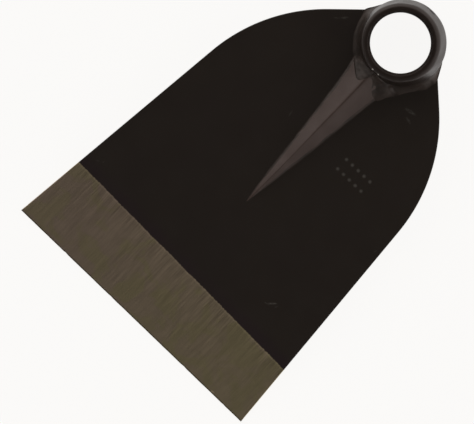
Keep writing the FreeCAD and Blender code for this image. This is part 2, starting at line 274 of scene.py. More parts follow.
def calc(tree, kind, a, b=None, c=None, clamp=False):
    node = tree.nodes.new("ShaderNodeMath")
    node.operation = kind
    node.use_clamp = clamp
    for i, value in enumerate((a, b, c)):
        socketIn(tree, node, i, value)
    return node.outputs[0]


def stretch(tree, place, x, y, z):
    node = tree.nodes.new("ShaderNodeMapping")
    tree.links.new(place, node.inputs["Vector"])
    node.inputs["Scale"].default_value = (x, y, z)
    return node.outputs[0]


def noise(tree, place, scale, detail=3.0, rough=0.5, warp=0.0):
    node = tree.nodes.new("ShaderNodeTexNoise")
    tree.links.new(place, node.inputs["Vector"])
    node.inputs["Scale"].default_value = scale
    node.inputs["Detail"].default_value = detail
    node.inputs["Roughness"].default_value = rough
    node.inputs["Distortion"].default_value = warp
    return node.outputs["Fac"]


def spread(tree, value, low, high, outLow=0.0, outHigh=1.0, smooth=True):
    node = tree.nodes.new("ShaderNodeMapRange")
    node.interpolation_type = "SMOOTHSTEP" if smooth else "LINEAR"
    socketIn(tree, node, "Value", value)
    node.inputs["From Min"].default_value = low
    node.inputs["From Max"].default_value = high
    node.inputs["To Min"].default_value = outLow
    node.inputs["To Max"].default_value = outHigh
    return node.outputs[0]


def mixColour(tree, share, a, b):
    node = tree.nodes.new("ShaderNodeMix")
    node.data_type = "RGBA"
    socketIn(tree, node, 0, share)
    socketIn(tree, node, 6, (*a, 1.0) if isinstance(a, tuple) else a)
    socketIn(tree, node, 7, (*b, 1.0) if isinstance(b, tuple) else b)
    return node.outputs[2]


def mixValue(tree, share, a, b):
    node = tree.nodes.new("ShaderNodeMix")
    node.data_type = "FLOAT"
    socketIn(tree, node, 0, share)
    socketIn(tree, node, 2, a)
    socketIn(tree, node, 3, b)
    return node.outputs[0]


def bump(tree, height, strength, distance, below=None):
    node = tree.nodes.new("ShaderNodeBump")
    node.inputs["Strength"].default_value = strength
    node.inputs["Distance"].default_value = distance
    socketIn(tree, node, "Height", height)
    socketIn(tree, node, "Normal", below)
    return node.outputs[0]


def attribute(tree, name):
    node = tree.nodes.new("ShaderNodeAttribute")
    node.attribute_name = name
    return node.outputs["Fac"]


def axes(tree, place):
    node = tree.nodes.new("ShaderNodeSeparateXYZ")
    tree.links.new(place, node.inputs[0])
    return node.outputs


def scratches(tree, place, angle, scale, stretchBy, width):
    # a scatter of fine lines lying one way
    turned = tree.nodes.new("ShaderNodeMapping")
    tree.links.new(place, turned.inputs["Vector"])
    turned.inputs["Rotation"].default_value = (0, 0, math.radians(angle))
    long = stretch(tree, turned.outputs[0], scale, scale / stretchBy, scale)
    return spread(tree, noise(tree, long, 1.0, 2.0, 0.6), 0.5 + width, 0.5 + width * 1.5)


def spotMask(tree, place, spots, height=0.0, deep=1000.0):
    # short faint marks, each with its own place, size and direction in mm and degrees
    total = None
    for x, y, long, short, angle, strength in spots:
        moved = tree.nodes.new("ShaderNodeMapping")
        moved.vector_type = "TEXTURE"
        tree.links.new(place, moved.inputs["Vector"])
        moved.inputs["Location"].default_value = (x * mm, y * mm, height * mm)
        moved.inputs["Rotation"].default_value = (0, 0, math.radians(angle))
        moved.inputs["Scale"].default_value = (long * mm, short * mm, deep * mm)
        size = tree.nodes.new("ShaderNodeVectorMath")
        size.operation = "LENGTH"
        tree.links.new(moved.outputs[0], size.inputs[0])
        here = spread(tree, size.outputs["Value"], 1.0, 0.25, 0.0, strength)
        total = here if total is None else calc(tree, "MAXIMUM", total, here)
    return total


markForm = {
    "row": 5,  # plain punch dots in two rows
    "at": (27.6, -79.6),
    "spacing": 5.3,
    "radius": 1.6,
    "depth": 0.25,
    "bare": 0.62,  # how far the lacquer has gone from them
}


def markCentres():
    x0, y0 = markForm["at"]
    gap = markForm["spacing"]
    return [(x0 + gap * i, y0 - gap * 1.6 * j) for j in range(2) for i in range(markForm["row"])]


lacquerLook = {
    "dotted": True,
    "dark": (0.0274, 0.0208, 0.0170),
    "brown": (0.0290, 0.0224, 0.0174),
    "patchScale": 28.0,
    "rubbedAndHighlit": (0.150, 0.138, 0.120),  # where the lacquer is thin over steel, and the colour of the painted highlights beside the neck
    # colour of the painted glints on the collar rim
    "glintColour": (0.55, 0.52, 0.48),
    "sheenColour": (1.0, 0.88, 0.84),
    "glossy": 0.29,
    "dull": 0.35,
    "orangePeel": 700.0,
    "peel": 0.15,
    "ripple": 0.10,
    "scuffsAndHighlights": (  # x, y, half length, half width, direction, strength; the four beside the neck are painted highlights where the neck bulges, the rest are scuffs
        (58.0, -182.0, 4.2, 0.8, 44, 1.0), (55.4, -184.2, 2.6, 0.5, 20, 0.7),
        (61.6, -181.3, 2.2, 0.5, 70, 0.5), (-90.0, -194.0, 2.2, 0.7, 30, 0.55),
        (-86.5, -191.6, 1.4, 0.5, 80, 0.4), (36.0, -28.0, 5.0, 1.6, 10, 0.55),
        (39.0, -33.0, 3.6, 1.2, -15, 0.4), (-38.0, -13.5, 3.4, 1.0, 52, 0.5),
        (-41.5, -17.0, 2.6, 0.8, 40, 0.35), (-20.0, -83.0, 3.2, 0.6, 100, 0.45),
        (86.0, -99.0, 2.2, 0.6, 60, 0.5), (83.0, -110.0, 1.6, 0.5, 75, 0.4),
    ),
    "paintedGlints": (),
    "fineScale": 420.0,
    "raggedness": 0.9,  # how unevenly the edges wear
    "wearFrom": 0.62,
    "wearTo": 1.05,
    "wornRough": 0.46,
    "wornMetal": 0.2,
    "markHeight": 5.0,  # a placed mark fades out this far above and below its own height, in mm
    # near-black colour and roughness of the painted shade dashes on the collar's ledge
    "shadeDashColour": (0.002, 0.002, 0.002),
    "shadeDashRough": 0.7,
    "sheenScale": 65.0,
    "rippleScale": 120.0,
    "rippleDepth": 0.0006,
    "peelDepth": 0.00012,
    "wearBump": 0.35,
    "wearDepth": 0.00005,
}


def lacquerParts(tree, place, look):
    # colour, roughness, metal share and bump of black lacquer
    patch = noise(tree, place, look["patchScale"], 4.0, 0.55, 0.4)
    fine = noise(tree, place, look["fineScale"], 3.0, 0.6)
    colour = mixColour(tree, spread(tree, patch, 0.30, 0.70), look["dark"], look["brown"])
    rub = attribute(tree, "rub")
    uneven = calc(tree, "MULTIPLY", calc(tree, "SUBTRACT", fine, 0.5), look["raggedness"])
    bare = spread(tree, calc(tree, "ADD", rub, uneven), look["wearFrom"], look["wearTo"])
    wornAndHighlit = bare
    # scuffs lighten the lacquer like wear, and so do the painted highlights beside the neck
    if look["scuffsAndHighlights"]:
        lines = scratches(tree, place, 60, 1300.0, 14.0, 0.01)
        broken = calc(tree, "MULTIPLY_ADD", lines, 0.5, spread(tree, fine, 0.40, 0.60, 0.1, 0.6))
        scuffedAndHighlit = calc(tree, "MULTIPLY", spotMask(tree, place, look["scuffsAndHighlights"]), broken)
        wornAndHighlit = calc(tree, "MAXIMUM", wornAndHighlit, scuffedAndHighlit)
    if look["dotted"]:
        size = markForm["radius"]
        dots = [(x, y, size, size, 0, markForm["bare"]) for x, y in markCentres()]
        punched = spotMask(tree, place, dots, float(frontFace), look["markHeight"])
        wornAndHighlit = calc(tree, "MAXIMUM", wornAndHighlit, punched)
    colour = mixColour(tree, wornAndHighlit, colour, look["rubbedAndHighlit"])
    sheen = spread(tree, noise(tree, place, look["sheenScale"], 4.0, 0.6), 0.3, 0.7)
    rough = mixValue(tree, sheen, look["glossy"], look["dull"])
    rough = mixValue(tree, wornAndHighlit, rough, look["wornRough"])
    metal = calc(tree, "MULTIPLY", wornAndHighlit, look["wornMetal"])
    # painted glints: bright metal spots stand in for the glints of two small lamps on the collar rim
    if look["paintedGlints"]:
        glintSpot = spread(tree, spotMask(tree, place, look["paintedGlints"]), 0.3, 0.7)
        colour = mixColour(tree, glintSpot, colour, look["glintColour"])
        metal = calc(tree, "MAXIMUM", metal, glintSpot)
        # painted shade: near-black dashes where the collar's flat ledge would reflect the dark sky overhead
        shadeDash = spotMask(tree, place, look["shadeDashes"], look["shadeDashHeight"], look["markHeight"])
        colour = mixColour(tree, shadeDash, colour, look["shadeDashColour"])
        rough = mixValue(tree, shadeDash, rough, look["shadeDashRough"])
    peel = noise(tree, place, look["orangePeel"], 2.0, 0.5)
    slow = noise(tree, place, look["rippleScale"], 3.0, 0.5)
    surface = bump(tree, slow, look["ripple"], look["rippleDepth"])
    surface = bump(tree, peel, look["peel"], look["peelDepth"], surface)
    surface = bump(tree, bare, look["wearBump"], look["wearDepth"], surface)
    return colour, rough, metal, surface


def blackLacquer(name, look):
    material, tree, shader, place = nodeSetup(name)
    colour, rough, metal, surface = lacquerParts(tree, place, look)
    socketIn(tree, shader, "Base Color", colour)
    socketIn(tree, shader, "Roughness", rough)
    socketIn(tree, shader, "Metallic", metal)
    socketIn(tree, shader, "Normal", surface)
    shader.inputs["IOR"].default_value = 1.5
    shader.inputs["Specular Tint"].default_value = (*look["sheenColour"], 1)
    return material


steelLook = {
    "rosy": (0.412, 0.317, 0.236),  # toward -X
    "olive": (0.432, 0.360, 0.213),  # toward +X, and in clouds
    "streakDepth": 0.16,
    "smooth": 0.42,
    "rough": 0.54,
    "borderWave": 0.7,  # how far the lacquer's border strays from the seam, in mm
    "combReach": 13.0,  # marks of the grinding stone start this near the border
    "edgeShadeWidth": 1.2,  # width of the painted shade line along the cutting edge
    "violet": (0.0276, 0.0176, 0.0192),  # heat tint in the lacquer along the border
    "tintReach": 11.0,
    "tintFull": 2.0,
    "highlightLineGain": 0.22,  # painted highlight along the bevel just below the border
    "grooveBump": 0.22,
    "grooveDepth": 0.00005,
    "hairBump": 0.3,
    "hairDepth": 0.00002,
    "nicks": ((70.0, -251.2, 2.0, 0.7, 12, 1.0), (-37.0, -251.8, 1.2, 0.5, 0, 0.5)),
}


def bladeFinish(name, look, paint):
    # lacquer above the seam and ground steel below, with a ragged border
    material, tree, shader, place = nodeSetup(name)
    colour, rough, metal, surface = lacquerParts(tree, place, paint)
    xyz = axes(tree, place)
    slope = (seamRight[1] - seamLeft[1]) / (seamRight[0] - seamLeft[0])
    level = (seamLeft[1] - slope * seamLeft[0]) * mm
    above = calc(tree, "SUBTRACT", xyz["Y"], calc(tree, "MULTIPLY_ADD", xyz["X"], float(slope), float(level)))
    comb = noise(tree, stretch(tree, place, 620.0, 25.0, 40.0), 1.0, 3.0, 0.6)
    drift = noise(tree, stretch(tree, place, 42.0, 8.0, 8.0), 1.0, 2.0, 0.5)
    wander = calc(tree, "SUBTRACT", calc(tree, "ADD", calc(tree, "MULTIPLY", comb, 0.9), drift), 0.95)
    border = calc(tree, "MULTIPLY_ADD", wander, 2 * look["borderWave"] * mm, above)
    painted = spread(tree, border, -0.00025, 0.00030)
    nearBorder = spread(tree, above, look["tintReach"] * mm, look["tintFull"] * mm)
    tinted = calc(tree, "MULTIPLY", nearBorder, spread(tree, drift, 0.35, 0.6, 0.5, 1.0))
    colour = mixColour(tree, tinted, colour, look["violet"])

    streak = noise(tree, stretch(tree, place, 1700.0, 60.0, 80.0), 1.0, 4.0, 0.62)
    broad = noise(tree, stretch(tree, place, 260.0, 30.0, 30.0), 1.0, 3.0, 0.5)
    cloud = noise(tree, place, 60.0, 4.0, 0.55, 0.5)
    across = spread(tree, xyz["X"], -0.09, 0.09, -0.1, 0.6, False)
    olive = calc(tree, "ADD", across, spread(tree, cloud, 0.46, 0.60, 0.0, 0.75), clamp=True)
    steel = mixColour(tree, olive, look["rosy"], look["olive"])
    low = spread(tree, above, -look["combReach"] * mm, -0.002, 0.35, 1.0)
    depth = calc(tree, "MULTIPLY", low, look["streakDepth"])
    shade = calc(tree, "ADD", calc(tree, "MULTIPLY", streak, 0.75), calc(tree, "MULTIPLY", broad, 0.25))
    shade = spread(tree, shade, 0.38, 0.62, -1.0, 1.0, False)
    gain = calc(tree, "MULTIPLY_ADD", shade, depth, spread(tree, cloud, 0.36, 0.64, 1.06, 0.95))
    # painted highlight: the steel is lightened in a thin line along the bevel just below the lacquer's border
    fromBorder = calc(tree, "MULTIPLY", border, -1.0)
    lineStart = spread(tree, fromBorder, 0.0, 0.0004)
    lineEnd = spread(tree, fromBorder, 0.0013, 0.0006)
    paintedHighlightLine = calc(tree, "MULTIPLY", lineStart, lineEnd)
    gain = calc(tree, "MULTIPLY_ADD", paintedHighlightLine, look["highlightLineGain"], gain)
    # painted shade: the steel is darkened in a thin line along the cutting edge
    fromEdge = calc(tree, "ADD", xyz["Y"], edgeReach * mm)
    gain = calc(tree, "MULTIPLY", gain, spread(tree, fromEdge, 0.0004, look["edgeShadeWidth"] * mm, 0.35, 1.0))
    nick = calc(tree, "MULTIPLY", spotMask(tree, place, look["nicks"]), 0.9)
    gain = calc(tree, "ADD", gain, nick)
    toned = tree.nodes.new("ShaderNodeVectorMath")
    toned.operation = "SCALE"
    tree.links.new(steel, toned.inputs[0])
    tree.links.new(gain, toned.inputs["Scale"])
    steelRough = mixValue(tree, spread(tree, streak, 0.3, 0.7), look["smooth"], look["rough"])
    grooves = bump(tree, streak, look["grooveBump"], look["grooveDepth"])
    hair = noise(tree, stretch(tree, place, 3200.0, 90.0, 120.0), 1.0, 2.0)
    grooves = bump(tree, hair, look["hairBump"], look["hairDepth"], grooves)

    socketIn(tree, shader, "Base Color", mixColour(tree, painted, toned.outputs[0], colour))
    socketIn(tree, shader, "Roughness", mixValue(tree, painted, steelRough, rough))
    socketIn(tree, shader, "Metallic", mixValue(tree, painted, 1.0, metal))
    both = tree.nodes.new("ShaderNodeMix")
    both.data_type = "VECTOR"
    socketIn(tree, both, 0, painted)
    socketIn(tree, both, 4, grooves)
    socketIn(tree, both, 5, surface)
    socketIn(tree, shader, "Normal", both.outputs[1])
    shader.inputs["IOR"].default_value = 1.5
    shader.inputs["Specular Tint"].default_value = (*paint["sheenColour"], 1)
    return material


collarLook = dict(lacquerLook)
collarLook.update({
    "dotted": False,
    "dark": (0.0200, 0.0135, 0.0104),
    "brown": (0.0270, 0.0180, 0.0140),
    "patchScale": 60.0,
    "orangePeel": 900.0,
    "ripple": 0.30,
    "glossy": 0.29,
    "dull": 0.40,
    "scuffsAndHighlights": (),
    # the two bright metal spots on the rim are painted glints of two small lamps
    "paintedGlints": ((-1.2, -25.1, 1.0, 0.85, 0, 1.0), (3.8, -25.1, 1.0, 0.85, 0, 1.0)),
    "shadeDashes": ((1.0, 29.0, 3.6, 0.7, -4, 1.0), (-2.6, 29.3, 1.6, 0.5, 12, 0.8)),  # painted shade: near-black dashes on the collar's flat ledge
    "shadeDashHeight": 27.5,
})
ribPaintedSheenLook = dict(collarLook)
ribPaintedSheenLook.update({
    # the rib's lacquer is lighter than the blade's: its colour paints in the facets' reflection of the bright
    # surroundings
    "dark": (0.0715, 0.0455, 0.0370),
    "brown": (0.0865, 0.0570, 0.0475),
    "orangePeel": 620.0,
    "peel": 0.42,
    "ripple": 0.22,
    "scuffsAndHighlights": ((-9.0, -60.0, 2.4, 0.4, 78, 0.22), (3.0, -70.0, 2.6, 0.4, 85, 0.25)),
    "paintedGlints": (),
})
weldLook = dict(collarLook)
weldLook.update({
    "dark": (0.0270, 0.0205, 0.0155),
    "brown": (0.0520, 0.0350, 0.0275),
    "patchScale": 110.0,
    "orangePeel": 450.0,
    "peel": 0.30,
    "glossy": 0.28,
    "dull": 0.48,
    "paintedGlints": (),
})

bladeMaterial = bladeFinish("black_lacquer_and_ground_steel", steelLook, lacquerLook)
collarMaterial = blackLacquer("collar_lacquer", collarLook)
ribMaterial = blackLacquer("rib_lacquer_painted_sheen", ribPaintedSheenLook)
weldMaterial = blackLacquer("weld_lacquer", weldLook)
print("finishes made")


# Blade plate

plateForm = {
    "seatRadius": 28.3,  # a little inside the collar, so no gap shows
    "columnStep": 1.7,
    "ringStep": 1.9,
    "markStep": 0.55,
    "backRings": 36,
}


def markDent(x, y):
    dent = np.zeros_like(x)
    for cx, cy in markCentres():
        r = np.hypot(x - cx, y - cy) / markForm["radius"]
        dent = dent + np.clip(1 - r ** 2, 0, None) ** 1.5
    return dent


def plateShape():
    left = sideOutline(sides[-1], plateForm["columnStep"])[::-1]
    right = sideOutline(sides[1], plateForm["columnStep"] * 0.85)
    near = np.array([0.1, 0.22, 0.4, 0.65, 1.0, 1.6, 2.6])
    length = np.linalg.norm(seamRight - seamLeft)
    middle = np.arange(3.6, length - 3.6, plateForm["columnStep"] * 0.85)
    along = np.concatenate([near, middle, (length - near)[::-1]])
    seam = seamLeft + (seamRight - seamLeft) * (along / length)[:, None]
    outline = np.concatenate([left, seam, right])
    fromCollar = outline - collarMiddle
    angle = np.arctan2(fromCollar[:, 1], fromCollar[:, 0])
    reach = np.linalg.norm(fromCollar, axis=1)

    span = 177.0
    share = [0.0]
    while share[-1] < 1:
        at = share[-1]
        fine = 0.24 < at < 0.43
        share.append(at + (plateForm["markStep"] if fine else plateForm["ringStep"]) / span)
    share = np.array(share)
    share = share / share[-1]
    insets = np.array([2.6, 1.6, 1.0, 0.65, 0.4, 0.22, 0.1, 0.0])

    def sheet(shares, heightOf, radius, dented):
        room = reach - plateForm["seatRadius"]
        tight = np.clip(room / 8, 0, 1)
        inner = plateForm["seatRadius"] + (room - 2.6 * tight)[:, None] * shares[None, :-1]
        outer = reach[:, None] - insets[None, :] * tight[:, None]
        r = np.concatenate([inner, outer], 1)
        x = r * np.cos(angle)[:, None] + collarMiddle[0]
        y = r * np.sin(angle)[:, None] + collarMiddle[1]
        d = np.clip(edgeDistance(x, y), 0, None)
        z = heightOf(x, y) - radius * rounding(d, abs(radius)) / abs(radius)
        if dented:
            z = z - markForm["depth"] * markDent(x, y)
        return np.stack([x, y, z], -1), d

    front, frontGap = sheet(share, frontHeight, bladeForm["frontRound"], True)
    backShare = np.linspace(0, 1, plateForm["backRings"])
    back, backGap = sheet(backShare, backHeight, -bladeForm["backRound"], False)
    rub = np.exp(-frontGap / 0.35) * 0.48
    rubBack = np.exp(-backGap / 0.8) * 0.5
    return slab(front, back), np.concatenate([rub.ravel(), rubBack.ravel()])


plateMesh, plateRub = plateShape()
makePiece("blade_plate_look", plateMesh, bladeMaterial, plateRub)


# Cutting bit

bitForm = {
    "columnStep": 1.0,
    "rowStep": 0.75,
    "backRows": 30,
    "edgeRound": 0.34,
    "edgeWander": 0.08,
    "nicks": (  # x, depth, half-width
        (-63.0, 0.25, 1.3), (-21.5, 0.20, 0.9), (45.0, 0.22, 1.6), (81.0, 0.15, 1.0),
    ),
}


def nickDepth(x):
    depth = bitForm["edgeWander"] * (0.6 + 0.4 * lumps(x, x * 0, 9.0, 23))
    for at, deep, half in bitForm["nicks"]:
        depth = depth + deep * np.exp(-((x - at) / half) ** 2)
    return depth


def bitShape():
    near = np.array([0.0, 0.1, 0.22, 0.4, 0.65, 1.0, 1.6])
    length = bitHigh[0] - bitLow[0]
    middle = np.arange(2.6, length - 2.6, bitForm["columnStep"])
    across = np.concatenate([near, middle, (length - near)[::-1]]) / length

    def sheet(rows, heightOf, radius):
        # rows run from the seam, 0, to the cutting edge, 1
        seam = seamLeft + (seamRight - seamLeft) * across[:, None]
        edge = np.stack([bitLow[0] + length * across, np.full(len(across), -edgeReach)], -1)
        edge[:, 1] += nickDepth(edge[:, 0])
        x = seam[:, None, 0] * (1 - rows) + edge[:, None, 0] * rows
        y = seam[:, None, 1] * (1 - rows) + edge[:, None, 1] * rows
        d = np.clip(edgeDistance(x, y), 0, None)
        toEdge = y - edge[:, None, 1]
        z = heightOf(x, y) - radius * rounding(d, abs(radius)) / abs(radius) * np.clip(toEdge / 4, 0.3, 1)
        tip = bitForm["edgeRound"] if radius > 0 else 0.2
        z = z - np.sign(radius) * rounding(toEdge, tip)
        return np.stack([x, y, z], -1), np.minimum(d, toEdge)

    width = seamLeft[1] + edgeReach
    last = np.array([1.6, 1.0, 0.6, 0.35, 0.22, 0.12, 0.05, 0.0]) / width
    rows = np.concatenate([np.arange(0, 1 - 2.3 / width, bitForm["rowStep"] / width), 1 - last])
    front, gap = sheet(rows, frontHeight, bladeForm["frontRound"])
    rowsBack = np.concatenate([np.linspace(0, 1 - 2.3 / width, bitForm["backRows"]), 1 - last])
    back, gapBack = sheet(rowsBack, backHeight, -bladeForm["backRound"])
    back[..., 2] = np.maximum(back[..., 2], 0.0)
    front[..., 2] = np.maximum(front[..., 2], back[:, -1:, 2] + 0.05)
    rub = np.concatenate([np.exp(-gap / 0.5).ravel(), np.exp(-gapBack / 0.5).ravel()]) * 0.8
    return slab(front, back), rub


bitMesh, bitRub = bitShape()
makePiece("cutting_bit_look", bitMesh, bladeMaterial, bitRub)


# Eye collar

collarForm = {
    "segments": 300,
    "longest": 0.8,  # longest step along the section
    "corners": (  # radius, height, rounding
        (20.0, 0.0, 0.5),
        (25.5, 0.0, 1.1),
        (28.8, 9.37, 3.0),
        (28.8, 25.5, 5.0),
        (25.6, collarHigh[2], 3.7),
        (21.7, collarHigh[2], 0.35),
        (20.0, 35.3, 0.5),
    ),
    "hammered": 0.10,
    "laps": ((23.6, 0.45, 0.16, 71), (24.9, 0.40, -0.12, 72)),  # radius, width, height, seed of forging laps
    "leanFrom": 37.9,  # the outside shifts off the bore between these heights
    "leanTo": 26.0,
}


def roundedLoop(corners, longest, arcSteps=8):
    # a closed section with each corner rounded and its straight parts divided
    count = len(corners)
    loop = []
    for i in range(count):
        here = np.array(corners[i][:2])
        before = np.array(corners[i - 1][:2]) - here
        after = np.array(corners[(i + 1) % count][:2]) - here
        before = before / np.linalg.norm(before)
        after = after / np.linalg.norm(after)
        half = math.acos(float(np.clip(before @ after, -1, 1))) / 2
        radius = corners[i][2]
        centre = here + (before + after) / np.linalg.norm(before + after) * (radius / math.sin(half))
        a = here + before * (radius / math.tan(half)) - centre
        b = here + after * (radius / math.tan(half)) - centre
        first = math.atan2(a[1], a[0])
        turn = (math.atan2(b[1], b[0]) - first + math.pi) % math.tau - math.pi
        for s in np.linspace(0, 1, arcSteps):
            loop.append(centre + radius * np.array([math.cos(first + turn * s), math.sin(first + turn * s)]))
    dense = []
    for i in range(len(loop)):
        a = loop[i]
        b = loop[(i + 1) % len(loop)]
        pieces = max(1, int(math.ceil(np.linalg.norm(b - a) / longest)))
        dense += [a + (b - a) * s / pieces for s in range(pieces)]
    return np.array(dense)


def collarLean(z):
    # how much of the shift to the collar's own middle a height has
    return np.clip((collarForm["leanFrom"] - z) / (collarForm["leanFrom"] - collarForm["leanTo"]), 0, 1)


def collarFlank(z):
    # radius of the collar's outside at this height, about its own middle
    rim = collarForm["corners"][4]
    belt = collarForm["corners"][3]
    share = np.clip((z - belt[1]) / (rim[1] - belt[1]), 0, 1)
    return belt[0] + (rim[0] - belt[0]) * share


def collarShape():
    section = roundedLoop(collarForm["corners"], collarForm["longest"])
    turn = np.linspace(0, math.tau, collarForm["segments"], endpoint=False)
    r = np.repeat(section[None, :, 0], len(turn), 0)
    z = np.repeat(section[None, :, 1], len(turn), 0)
    t = np.repeat(turn[:, None], len(section), 1)
    outside = np.clip((r - 21.9) / 3, 0, 1)
    dents = lumps(np.cos(t) * 27, np.sin(t) * 27 + z, 13.0, 31)
    r = r - outside * collarForm["hammered"] * (1 + dents)
    topDents = lumps(np.cos(t) * 25, np.sin(t) * 25, 19.0, 37)
    z = z - np.clip((z - 34) / 4, 0, 1) * collarForm["hammered"] * (1 + topDents)
    for at, wide, high, seed in collarForm["laps"]:
        strength = np.clip(0.45 + 0.55 * lumps(np.cos(t) * 25, np.sin(t) * 25, 30.0, seed), 0, 1)
        wander = 0.25 * lumps(np.cos(t) * 25, np.sin(t) * 25, 24.0, seed + 5)
        z = z + high * strength * np.exp(-((r - at - wander) / wide) ** 2) * (z > 30)
    z = np.clip(z, 0, collarHigh[2])
    shift = outside * collarLean(z)
    x = r * np.cos(t) + shift * collarMiddle[0]
    y = r * np.sin(t) + shift * collarMiddle[1]
    inner = np.exp(-((r - 21.8) / 0.4) ** 2) * np.clip((z - 36.9) / 0.8, 0, 1)
    return tube(np.stack([x, y, z], -1), True), (0.5 * inner).ravel()


collarMesh, collarRub = collarShape()
makePiece("eye_collar_look", collarMesh, collarMaterial, collarRub)


# Spine rib

ribForm = {
    "root": 31.7,  # distance from the eye's axis where the crest is highest
    "tip": -ribLow[1],
    "height": 13.0,
    "halfWidths": (  # distance from the eye's axis, foot on the -X side, foot on the +X side
        (22, 15.9, 15.9), (32, 14.2, 14.4), (36, 13.2, 13.7), (45, 11.8, 12.5),
        (75, 8.4, 8.8), (90, 6.9, 7.2), (132, 2.8, 1.3), (146, 0.85, -0.55),
    ),
    "crestBend": (110.0, -0.7),  # the crest bears to the side from here to the tip
    "crestSoft": (1.25, 0.28),  # width of the rounded crest, at the head and from half way on
    "start": 25.0,
    "step": 1.0,
    "faceSteps": 22,
    "uneven": 0.07,
}
ribFeet = np.array(ribForm["halfWidths"], float)


def ribCrestX(reach):
    bend, aside = ribForm["crestBend"]
    return aside * np.clip((reach - bend) / (ribForm["tip"] - bend), 0, 1) ** 1.5


def ribCrest(reach):
    return ribForm["height"] * (1 - (reach - ribForm["root"]) / (ribForm["tip"] - ribForm["root"]))


def ribFoot(reach, way):
    # x of the rib's foot on one side
    foot = np.interp(reach, ribFeet[:, 0], ribFeet[:, 1 if way < 0 else 2])
    return way * foot


def ribHeight(x, y):
    # height of the rib above the blade's front, negative outside it
    reach = -y
    crestX = ribCrestX(reach)
    off = x - crestX
    left = np.clip(crestX - ribFoot(reach, -1), 0.15, None)
    right = np.clip(ribFoot(reach, 1) - crestX, 0.15, None)
    half = np.where(off < 0, left, right)
    wide, narrow = ribForm["crestSoft"]
    soft = np.minimum(wide + (narrow - wide) * np.clip((reach - 32) / 62, 0, 1), half * 0.3)
    rise = np.clip(ribCrest(reach), 0, None)
    return rise * (1 - (np.sqrt(off ** 2 + soft ** 2) - soft * 0.4) / half)


def ribShape():
    reach = np.concatenate([
        np.arange(ribForm["start"], ribForm["tip"] - 5, ribForm["step"]),
        np.linspace(ribForm["tip"] - 5, ribForm["tip"] - 0.05, 16),
    ])
    middle = np.array([0.010, 0.022, 0.036, 0.055])
    outward = np.concatenate([[0], middle, np.linspace(0.08, 1.0, ribForm["faceSteps"])])
    crestX = ribCrestX(reach)[:, None]
    left = np.clip(crestX[:, 0] - ribFoot(reach, -1), 0.15, None) + 0.3
    right = np.clip(ribFoot(reach, 1) - crestX[:, 0], 0.15, None) + 0.3
    x = np.concatenate([crestX - left[:, None] * outward[:0:-1], crestX + right[:, None] * outward], 1)
    y = np.repeat(-reach[:, None], x.shape[1], 1)
    top = frontHeight(x, y) + ribHeight(x, y)
    top = top + ribForm["uneven"] * lumps(x * 1.4, y, 17.0, 41) * np.clip(ribCrest(reach) / 6, 0, 1)[:, None]
    under = frontHeight(x, y) - 1.2
    top = np.maximum(top, under + 0.1)
    crest = np.exp(-((x - crestX) / 0.4) ** 2)
    rub = crest * (0.10 + 0.20 * lumps(x * 0, y, 9.0, 43))
    floorX = x[:, ::-1][:, ::6]
    floorY = y[:, ::-1][:, ::6]
    floorZ = under[:, ::-1][:, ::6]
    rings = np.concatenate([np.stack([x, y, top], -1), np.stack([floorX, floorY, floorZ], -1)], 1)
    rub = np.concatenate([rub, np.zeros(floorX.shape)], 1)
    return tube(rings, False), rub.ravel()


ribMesh, ribRub = ribShape()
makePiece("spine_rib_look", ribMesh, ribMaterial, ribRub)


# Welds along the rib's foot

ribWeldForm = {
    "reach": 0.95,  # how far the fillet spreads on each side of the foot
    "soft": 0.34,
    "uneven": 0.05,
    "step": 0.8,
}


def ribWeldShape():
    reach = np.concatenate([
        np.arange(ribForm["start"], ribForm["tip"] - 4, ribWeldForm["step"]),
        np.linspace(ribForm["tip"] - 4, ribForm["tip"] - 0.6, 8),
    ])
    left = np.stack([ribFoot(reach, -1), -reach], -1)
    right = np.stack([ribFoot(reach, 1), -reach], -1)
    foot = np.concatenate([left, right[::-1]])
    run = np.gradient(foot, axis=0)
    run = run / np.linalg.norm(run, axis=1)[:, None]
    out = np.stack([run[:, 1], -run[:, 0]], -1)  # the run goes down the -X side and back up the other
    half = (right[:, 0] - left[:, 0]) / 2
    room = np.concatenate([half, half[::-1]])
    side = np.repeat([-30.0, 30.0], len(reach))
    ragged = 1 + 0.25 * lumps(side, foot[:, 1], 11.0, 47)
    widths = ribWeldForm["reach"] * ragged * np.clip(room / 5, 0.15, 1)
    v = np.linspace(-1, 1, 13)
    inward = v[None, :] * np.minimum(widths, room * 0.7)[:, None]
    offset = np.where(v[None, :] < 0, inward, v[None, :] * widths[:, None])
    x = foot[:, None, 0] + out[:, None, 0] * offset
    y = foot[:, None, 1] + out[:, None, 1] * offset
    rib = ribHeight(x, y)
    soft = ribWeldForm["soft"] * np.clip(room / 3, 0.15, 1)[:, None]
    fillet = (rib + np.sqrt(rib ** 2 + soft ** 2)) / 2
    edgeDip = np.clip(np.abs(v) - 0.8, 0, 1)[None, :] / 0.2 * 0.12
    lump = lumps(x, y, 4.0, 53) * (1 - np.abs(v))[None, :] * np.clip(room / 3, 0.2, 1)[:, None]
    top = frontHeight(x, y) + fillet - edgeDip + ribWeldForm["uneven"] * lump
    under = frontHeight(x, y) - 1.0
    return slab(np.stack([x, y, top], -1), np.stack([x, y, under], -1))


makePiece("rib_welds_look", ribWeldShape(), weldMaterial)


# Weld round the collar's foot, front

